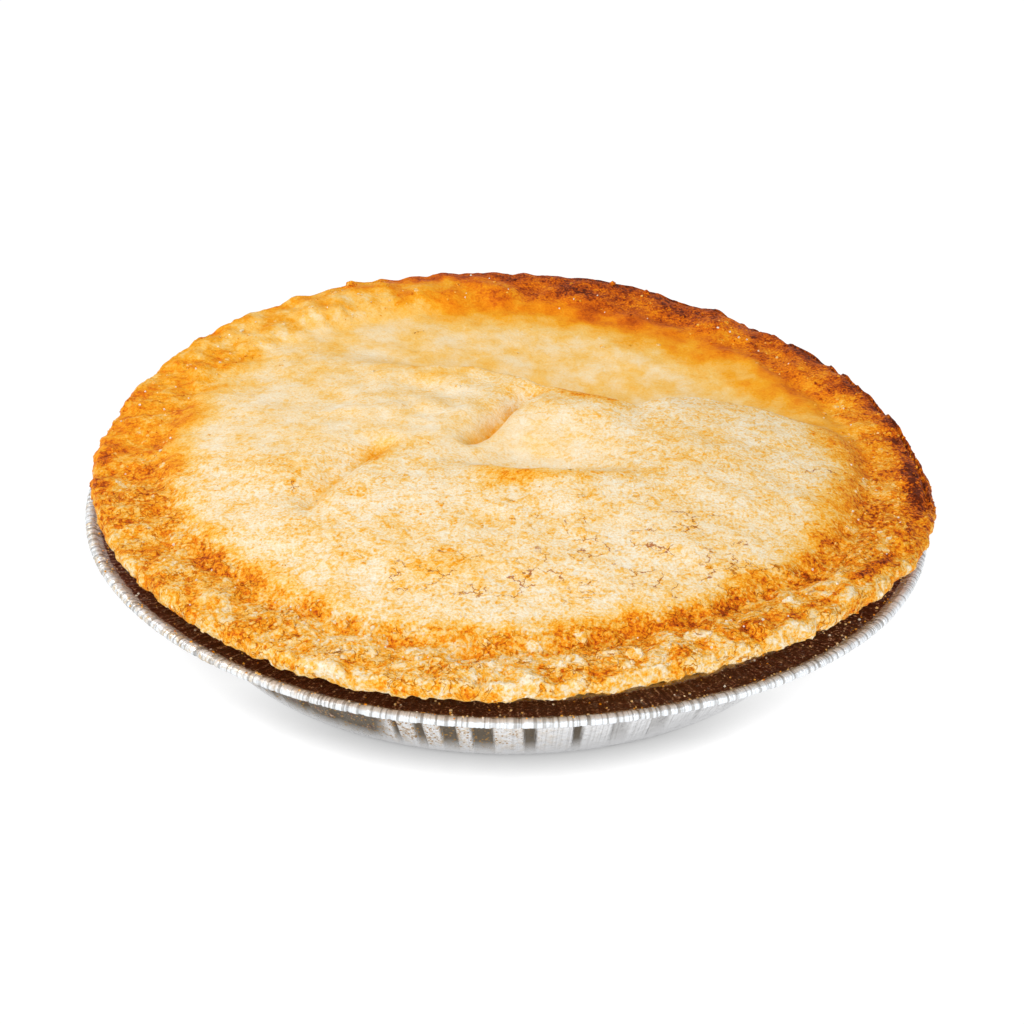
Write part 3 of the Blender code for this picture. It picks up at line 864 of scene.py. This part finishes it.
def scatter_crumbs(ground, finish):
    """Crumbs on the rim and lid, a few bigger ones on the skyline, and more along the cut edge."""
    chance = random.Random(CRUMB_SEED)
    crumbs = Bits("pastry_crumbs")
    for x, y, smallest, largest in places_on_rim(chance, CRUMB_ZONES):
        at, normal, brown = ground.below(x, y)
        if at is None:
            continue
        size = smallest * (largest / smallest) ** chance.random()
        place = at + normal * size * chance.uniform(-0.2, 0.3)
        shade = max(brown + chance.uniform(*CRUMB_TONE), PALEST)
        crumbs.add(crumb(chance, size), place, normal, shade, chance, CRUMB_TILT)
    for x, y, size in SKYLINE_KNOBS:
        at, normal, brown = ground.below(x, y)
        if at is not None:
            place = at + normal * 0.15 * size
            crumbs.add(crumb(chance, size), place, normal, brown - 0.1, chance, KNOB_TILT)
    for _ in range(SIDE_CRUMBS):
        angle = math.radians(chance.uniform(*SIDE_CRUMB_ANGLES))
        foot = EDGE_BOTTOM + float(waves(angle, EDGE_HEIGHT_WAVES))
        z = foot + chance.uniform(*SIDE_CRUMB_HEIGHTS)
        at, normal, brown = ground.beside(angle, z)
        if at is None:
            continue
        size = chance.uniform(*SIDE_CRUMB_SIZE)
        lump = crumb(chance, size)
        shade = brown + chance.uniform(*SIDE_CRUMB_TONE)
        crumbs.add(lump, at - normal * size * 0.3, normal, shade, chance, CRUMB_TILT)
    crumbs.finish_up(finish)


def scatter_dish_crumbs(ground, finish):
    """Gold crumbs that have dropped on the flange and stuck to the bead."""
    chance = random.Random(DISH_CRUMB_SEED)
    crumbs = Bits("dish_crumbs")
    for index in range(DISH_CRUMBS):
        angle = math.radians(chance.uniform(0, 360))
        r = chance.uniform(*FLANGE_CRUMBS) if index % 3 else chance.gauss(*BEAD_CRUMBS)
        at, normal, _ = ground.below(r * math.cos(angle), r * math.sin(angle))
        if at is None:
            continue
        size = chance.uniform(*DISH_CRUMB_SIZE) * chance.uniform(0.7, 1.5)
        lump = crumb(chance, size)
        shade = chance.uniform(*DISH_CRUMB_TONE)
        crumbs.add(lump, at + normal * size * 0.5, normal, shade, chance, CRUMB_TILT)
    crumbs.finish_up(finish)


def scatter_sugar(crust_ground, dish_ground, finish):
    """White grains of sugar, two on the rim for each one on the flange."""
    chance = random.Random(SUGAR_SEED)
    grains = Bits("sugar_grains")
    for index in range(SUGAR_GRAINS):
        on_rim = index % 3
        ground, reach = (crust_ground, SUGAR_ON_RIM) if on_rim else (dish_ground, SUGAR_ON_FLANGE)
        angle = math.radians(chance.uniform(0, 360))
        r = chance.uniform(*reach)
        at, normal, _ = ground.below(r * math.cos(angle), r * math.sin(angle))
        if at is None:
            continue
        size = chance.uniform(*SUGAR_SIZE)
        cube = bmesh.new()
        bmesh.ops.create_cube(cube, size=size)
        grains.add(cube, at + normal * size * 0.3, normal, 0.0, chance, SUGAR_TILT)
    grains.finish_up(finish)


def linear(*codes):
    """Linear colour from the 0 to 255 codes that a screen shows."""
    shares = [code / 255 for code in codes]
    return [s / 12.92 if s <= 0.04045 else ((s + 0.055) / 1.055) ** 2.4 for s in shares]


def set_inputs(tree, node, inputs):
    """Sets each input, by name or number, to a value or to the socket that feeds it."""
    for name, value in dict(inputs).items():
        if isinstance(value, bpy.types.NodeSocket):
            tree.links.new(value, node.inputs[name])
        else:
            node.inputs[name].default_value = value


def new_node(tree, kind, inputs=(), **settings):
    node = tree.nodes.new(kind)
    for name, value in settings.items():
        setattr(node, name, value)
    set_inputs(tree, node, inputs)
    return node


def calc(tree, operation, *values, clamp=False):
    node = new_node(tree, "ShaderNodeMath", enumerate(values), operation=operation, use_clamp=clamp)
    return node.outputs[0]


def times(tree, first, *rest):
    for value in rest:
        first = calc(tree, "MULTIPLY", first, value)
    return first


def add_up(tree, first, *terms):
    """A value plus each (value, factor) of the rest."""
    for value, factor in terms:
        first = calc(tree, "MULTIPLY_ADD", value, factor, first)
    return first


def place_in_mm(tree):
    place = new_node(tree, "ShaderNodeTexCoord").outputs["Object"]
    scaled = new_node(tree, "ShaderNodeVectorMath", {0: place, 3: 1 / MM}, operation="SCALE")
    return scaled.outputs[0]


def grain(tree, place, size, detail=2.0, roughness=0.5, distortion=0.0):
    """Noise with grains of a size in millimetres, centred on 0."""
    inputs = {"Vector": place, "Scale": 1 / size, "Detail": detail, "Roughness": roughness}
    node = new_node(tree, "ShaderNodeTexNoise", inputs | {"Distortion": distortion})
    return calc(tree, "SUBTRACT", node.outputs[0], 0.5)


def cells(tree, place, size, feature="F1"):
    """Cells of a size: the distance to a middle, or to an edge, in cells."""
    inputs = {"Vector": place, "Scale": 1 / size}
    return new_node(tree, "ShaderNodeTexVoronoi", inputs, feature=feature).outputs["Distance"]


def warped(tree, place, size, reach):
    """The place moved about by noise, so that cells there get uneven outlines."""
    moved = new_node(tree, "ShaderNodeTexNoise", {"Vector": place, "Scale": 1 / size, "Detail": 3.0})
    inputs = {0: moved.outputs["Color"], 1: (reach, reach, reach), 2: place}
    return new_node(tree, "ShaderNodeVectorMath", inputs, operation="MULTIPLY_ADD").outputs[0]


def between(tree, value, low, high):
    """0 up to low and 1 past high, smooth between, as rising() is."""
    inputs = {"Value": value, "From Min": low, "From Max": high}
    node = new_node(tree, "ShaderNodeMapRange", inputs, interpolation_type="SMOOTHSTEP")
    return node.outputs[0]


def kept(tree, name):
    """The number that store() kept on the mesh."""
    return new_node(tree, "ShaderNodeAttribute", attribute_name=name).outputs["Fac"]


def ramp(tree, value, stops):
    """Colour from a value, by stops of (value, colour codes)."""
    node = new_node(tree, "ShaderNodeValToRGB", {0: value})
    scale = node.color_ramp
    while len(scale.elements) < len(stops):
        scale.elements.new(0.5)
    for element, (at, codes) in zip(scale.elements, stops):
        element.position = at
        element.color = (*linear(*codes), 1)
    return node.outputs[0]


def blend_colour(tree, share, low, high):
    """One colour at a share of 0 and another at 1."""
    inputs = {0: share, 6: low, 7: high}
    return new_node(tree, "ShaderNodeMix", inputs, data_type="RGBA").outputs[2]


def add_bump(tree, surface, height, strength):
    """Lets the light fall on a surface as if it had a height in millimetres."""
    bump = new_node(tree, "ShaderNodeBump", {"Height": height, "Distance": MM, "Strength": strength})
    tree.links.new(bump.outputs[0], surface.inputs["Normal"])


def blank_finish(name):
    made = bpy.data.materials.new(name)
    made.use_nodes = True
    return made, made.node_tree, made.node_tree.nodes["Principled BSDF"]


# Colours of the pastry by its browning, and of its cracks, pin holes and the painted shadow along its
# flaky plates' edges, as screen codes
PASTRY_COLOURS = (
    (0.0, (250, 243, 227)), (0.15, (247, 231, 203)), (0.28, (245, 216, 165)), (0.42, (245, 195, 102)),
    (0.56, (244, 167, 36)), (0.68, (236, 137, 14)), (0.78, (215, 105, 14)), (0.88, (174, 72, 14)),
    (1.0, (96, 36, 12)),
)
CRACK_AND_SHADOW_COLOUR = (170, 84, 6)
# Sizes of the grains and cells that it is made of
WIDE_GRAIN, BLOTCH_GRAIN, FINE_GRAIN = 8.0, 1.9, 0.7
LAYER_GRAIN, CHIP_GRAIN = 4.4, 1.5
CRACK_CELL, CRACK_WANDER, HOLE_CELL = 7.0, 6.0, 11.0
PALEST_SPECK, BROWNEST_SPECK = -0.2, 0.36


def flaky_layers(tree, place, broken):
    """What a flaky rim shows: raised plates, clefts, gaps along the plates' edges, chips and pits."""
    layers = grain(tree, place, LAYER_GRAIN, 2, 0.55, 0.5)
    chips = grain(tree, place, CHIP_GRAIN, 1, 0.5, 0.3)
    plate = calc(tree, "ADD", between(tree, layers, 0.02, 0.035), between(tree, layers, 0.085, 0.1))
    cleft = between(tree, layers, -0.04, -0.07)
    from_edge = calc(tree, "ABSOLUTE", calc(tree, "SUBTRACT", layers, 0.014))
    # Gaps along the plates' edges, which pastry_finish darkens as painted shadow
    gap = times(tree, between(tree, from_edge, 0.018, 0.004), broken)
    return plate, cleft, gap, between(tree, chips, 0.03, 0.05), between(tree, chips, -0.04, -0.06)


def dark_marks(tree, place, wide, broken):
    """Hairline cracks where the mesh says that the crust has split, and pin holes all over."""
    from_edge = cells(tree, warped(tree, place, 2.9, CRACK_WANDER), CRACK_CELL, "DISTANCE_TO_EDGE")
    line = between(tree, from_edge, 0.035, 0.01)
    split = between(tree, add_up(tree, wide, (kept(tree, "cracked"), 0.26)), 0.2, 0.3)
    hole = between(tree, cells(tree, place, HOLE_CELL), 0.028, 0.02)
    return calc(tree, "MAXIMUM", times(tree, line, broken, split, 0.88), times(tree, hole, 0.6))


def pastry_finish():
    """Baked pastry: from white through gold to brown, speckled, with cracks, pin holes and flakes."""
    made, tree, surface = blank_finish("baked_pastry")
    place = place_in_mm(tree)
    brown, crag, mottle = kept(tree, "browning"), kept(tree, "crag"), kept(tree, "mottle")
    wide = grain(tree, place, WIDE_GRAIN, 3, 0.6)
    blotch = grain(tree, place, BLOTCH_GRAIN, 3, 0.65, 0.7)
    fine = grain(tree, place, FINE_GRAIN, 2, 0.6)
    broken = between(tree, grain(tree, place, WIDE_GRAIN, 1), -0.02, 0.02)
    plate, cleft, gap, chip, pit = flaky_layers(tree, place, broken)
    on_rim = between(tree, crag, 0.2, 0.45)
    flaky = between(tree, crag, 0.35, 0.8)

    spots = times(tree, between(tree, blotch, 0.02, 0.08), calc(tree, "ADD", wide, 0.5))
    lid_speckle = add_up(tree, times(tree, blotch, 0.45), (fine, 0.65), (spots, 0.16))
    # Plates and chips paler, clefts and pits browner: partly the pastry's layers, partly painted light
    # and shade
    flaky_tone = add_up(tree, times(tree, plate, -0.05), (cleft, 0.06), (gap, 0.1))
    rim_speckle = add_up(tree, times(tree, flaky_tone, flaky), (chip, -0.07), (pit, 0.1))
    rim_speckle = add_up(tree, rim_speckle, (fine, 0.75), (blotch, 0.4))
    rim_speckle = calc(tree, "MINIMUM", rim_speckle, BROWNEST_SPECK)
    rim_speckle = calc(tree, "MAXIMUM", rim_speckle, PALEST_SPECK)
    speckle = add_up(tree, lid_speckle, (calc(tree, "SUBTRACT", rim_speckle, lid_speckle), on_rim))
    drift = times(tree, wide, add_up(tree, 0.4, (on_rim, 0.35)))
    total = add_up(tree, brown, (drift, 1.0), (speckle, mottle))
    colour = ramp(tree, total, PASTRY_COLOURS)
    # Painted shadow along the plates' edges, in the crack colour
    dark = calc(tree, "MAXIMUM", dark_marks(tree, place, wide, broken), times(tree, gap, flaky, 0.6))
    colour = blend_colour(tree, dark, colour, (*linear(*CRACK_AND_SHADOW_COLOUR), 1))

    raised = add_up(tree, times(tree, plate, 0.35), (cleft, -0.3), (gap, -0.25))
    raised = add_up(tree, times(tree, raised, flaky), (chip, 0.16), (pit, -0.2))
    height = add_up(tree, times(tree, raised, on_rim), (blotch, 0.8), (fine, 0.35))
    add_bump(tree, surface, height, add_up(tree, 0.15, (mottle, 0.5)))
    looks = {"Base Color": colour, "Roughness": 0.6, "Specular IOR Level": 0.08}
    set_inputs(tree, surface, looks)
    return made


# Colours of the foil: bare, the bead's painted reflection, dull, painted shade in the sunk panels and
# in creases, then its spatters as screen codes, and the baked-on stain, partly painted shade, from
# its darkest
BARE_FOIL, BEAD_PAINTED_REFLECTION = (0.88, 0.88, 0.89, 1), (0.92, 0.96, 1.0, 1)
TARNISHED, PAINTED_SHADE_FOIL, PAINTED_CREASE_SHADE = (0.72, 0.56, 0.36, 1), (0.14, 0.11, 0.075, 1), (0.22, 0.19, 0.15, 1)
SPATTER_COLOUR = (176, 134, 74)
STAIN_AND_SHADE_COLOURS = ((0.0, (74, 30, 20)), (0.12, (116, 62, 44)), (0.25, (222, 190, 160)))
STREAK_GRAIN, SPOT_GRAIN, STRIPE_GRAIN, SPATTER_CELL = 2.2, 0.8, 1.1, 1.1


def foil_finish():
    """Bright pressed aluminium, with baked-on stains where the filling and the fat have run."""
    made, tree, surface = blank_finish("pressed_foil")
    place = place_in_mm(tree)
    shade, lined, bead = kept(tree, "shade"), kept(tree, "lined"), kept(tree, "bead")
    streaks = grain(tree, place, STREAK_GRAIN, 4, 0.6)
    spots = grain(tree, place, SPOT_GRAIN, 3, 0.6)
    inputs = {"W": kept(tree, "along"), "Scale": 1 / STRIPE_GRAIN, "Detail": 4}
    across = new_node(tree, "ShaderNodeTexNoise", inputs, noise_dimensions="1D")
    stripes = calc(tree, "SUBTRACT", across.outputs[0], 0.5)
    total = add_up(tree, kept(tree, "stain_and_shade"), (streaks, 1.2), (spots, 0.7), (stripes, 0.3))
    stain_and_shade = between(tree, total, 0.4, 0.8)
    # Painted shade in the crimps and wrinkles, where the stripes of the bump sink
    crease_shade = times(tree, between(tree, stripes, -0.02, -0.1), lined, 0.6)
    patchy = add_up(tree, 0.3, (streaks, 4.0), (spots, 2.0))
    tarnish = calc(tree, "MULTIPLY", kept(tree, "tarnish"), patchy, clamp=True)
    dots = between(tree, cells(tree, place, SPATTER_CELL), 0.34, 0.24)
    few = between(tree, add_up(tree, kept(tree, "spatter"), (streaks, 1.5)), 0.45, 0.75)

    # Painted reflection: the bead bluish white, bright under the crust's overhang
    metal = blend_colour(tree, bead, BARE_FOIL, BEAD_PAINTED_REFLECTION)
    metal = blend_colour(tree, tarnish, metal, TARNISHED)
    # Painted shade on the sunk panels, the deep crimps and the left of the wall
    metal = blend_colour(tree, shade, metal, PAINTED_SHADE_FOIL)
    metal = blend_colour(tree, crease_shade, metal, PAINTED_CREASE_SHADE)
    metal = blend_colour(tree, times(tree, dots, few), metal, (*linear(*SPATTER_COLOUR), 1))
    baked = ramp(tree, add_up(tree, times(tree, stripes, 0.45), (spots, 1.3)), STAIN_AND_SHADE_COLOURS)
    # Baked-on stain, which on the flange is partly painted shade under the crust's overhang
    colour = blend_colour(tree, stain_and_shade, metal, baked)
    # Less metallic where stained and on the bead, for the painted shade and the painted reflection
    metallic = add_up(tree, 1.0, (stain_and_shade, -0.7), (bead, -0.7))
    rough = add_up(tree, 0.2, (stain_and_shade, 0.15), (streaks, 0.15), (shade, 0.15))
    set_inputs(tree, surface, {"Base Color": colour, "Metallic": metallic, "Roughness": rough})
    height = add_up(tree, times(tree, stripes, lined), (streaks, 0.5), (spots, 0.1))
    add_bump(tree, surface, height, 0.8)
    return made


SUGAR_PALE, SUGAR_CLOUDY, SUGAR_GRAIN = (1.0, 0.93, 0.8, 1), (0.9, 0.82, 0.66, 1), 0.5


def sugar_finish():
    """Clear white crystals, a little cloudy."""
    made, tree, surface = blank_finish("sugar_crystal")
    cloudy = between(tree, grain(tree, place_in_mm(tree), SUGAR_GRAIN, 2), -0.1, 0.1)
    colour = blend_colour(tree, cloudy, SUGAR_PALE, SUGAR_CLOUDY)
    looks = {"Base Color": colour, "Roughness": 0.25, "Transmission Weight": 0.1}
    set_inputs(tree, surface, looks)
    return made


def make_floor():
    """A white floor that glows a little, so that only a painted shadow at the dish's foot shows."""
    bm = bmesh.new()
    bmesh.ops.create_grid(bm, x_segments=1, y_segments=1, size=FLOOR_SIZE)
    mesh = bpy.data.meshes.new("studio_floor")
    bm.to_mesh(mesh)
    bm.free()
    made, tree, surface = blank_finish("white_light_table")
    occlusion = new_node(tree, "ShaderNodeAmbientOcclusion", {"Distance": FOOT_SHADOW}, samples=6)
    place = new_node(tree, "ShaderNodeTexCoord").outputs["Object"]
    forward = new_node(tree, "ShaderNodeSeparateXYZ", {0: place}).outputs["Y"]
    inputs = {"Value": forward, "From Min": SHADE_FROM, "From Max": SHADE_TO, "To Min": SHADE_BEHIND}
    front = new_node(tree, "ShaderNodeMapRange", inputs).outputs[0]
    # Painted shadow: the glow dimmed where the floor is hidden, more at the front than behind
    hidden = calc(tree, "SUBTRACT", 1.0, occlusion.outputs["AO"])
    glow = calc(tree, "SUBTRACT", FLOOR_GLOW, times(tree, hidden, front, FOOT_SHADE))
    looks = {"Base Color": FLOOR_WHITE, "Roughness": 0.9, "Specular IOR Level": 0.0}
    light = {"Emission Color": (1, 1, 1, 1), "Emission Strength": glow}
    set_inputs(tree, surface, looks | light)
    mesh.materials.append(made)
    floor = add_object("studio_floor", mesh)
    floor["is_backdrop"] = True


def add_softbox(name, at, size, power):
    light = bpy.data.lights.new(name, "AREA")
    light.size = size
    light.energy = power
    lamp = add_object(name, light)
    lamp.location = at
    lamp.rotation_euler = (-Vector(at)).to_track_quat("-Z", "Y").to_euler()


def light_studio():
    """A white room that is brighter at eye level than overhead, and two softboxes."""
    world = bpy.data.worlds.new("white_room")
    world.use_nodes = True
    tree = world.node_tree
    way = new_node(tree, "ShaderNodeTexCoord").outputs["Generated"]
    up = new_node(tree, "ShaderNodeSeparateXYZ", {0: way}).outputs["Z"]
    inputs = {"Value": up, "From Max": 1.0, "To Min": ROOM_AT_EYE_LEVEL, "To Max": ROOM_OVERHEAD}
    bright = new_node(tree, "ShaderNodeMapRange", inputs).outputs[0]
    tree.links.new(bright, tree.nodes["Background"].inputs["Strength"])
    tree.nodes["Background"].inputs["Color"].default_value = (1.0, 1.0, 1.0, 1)
    bpy.context.scene.world = world
    for softbox in SOFTBOXES:
        add_softbox(*softbox)
    bpy.context.scene.view_settings.view_transform = "Standard"


def set_camera():
    camera = bpy.data.cameras.new("photo_camera")
    camera.sensor_width = SENSOR
    camera.lens = SENSOR * PIXELS_PER_MM * CAMERA_AWAY / PHOTO_SIZE
    rise = math.radians(CAMERA_RISE)
    looking = Vector((0, math.cos(rise), -math.sin(rise)))
    stand = add_object("photo_camera", camera)
    turn = looking.to_track_quat("-Z", "Y").to_matrix().to_4x4()
    roll = Matrix.Rotation(math.radians(CAMERA_ROLL), 4, "Z")
    at = (Vector(CAMERA_AIM) - looking * CAMERA_AWAY) * MM
    stand.matrix_world = Matrix.Translation(at) @ turn @ roll
    bpy.context.scene.camera = stand


def write_sizes():
    boxes = {"cad": CAD_BOX, "visual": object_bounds()}
    {name: [list(corner) for corner in box] for name, box in boxes.items()}


def main():
    set_camera()
    light_studio()
    make_floor()
    pastry = pastry_finish()
    crust, crust_ground = make_crust(pastry)
    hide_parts("baked_pie")
    dish, dish_ground = make_dish(foil_finish())
    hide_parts("foil_dish")
    scatter_flakes(crust_ground, pastry)
    scatter_crumbs(crust_ground, pastry)
    scatter_dish_crumbs(dish_ground, pastry)
    scatter_sugar(crust_ground, dish_ground, sugar_finish())
    write_sizes()


main()
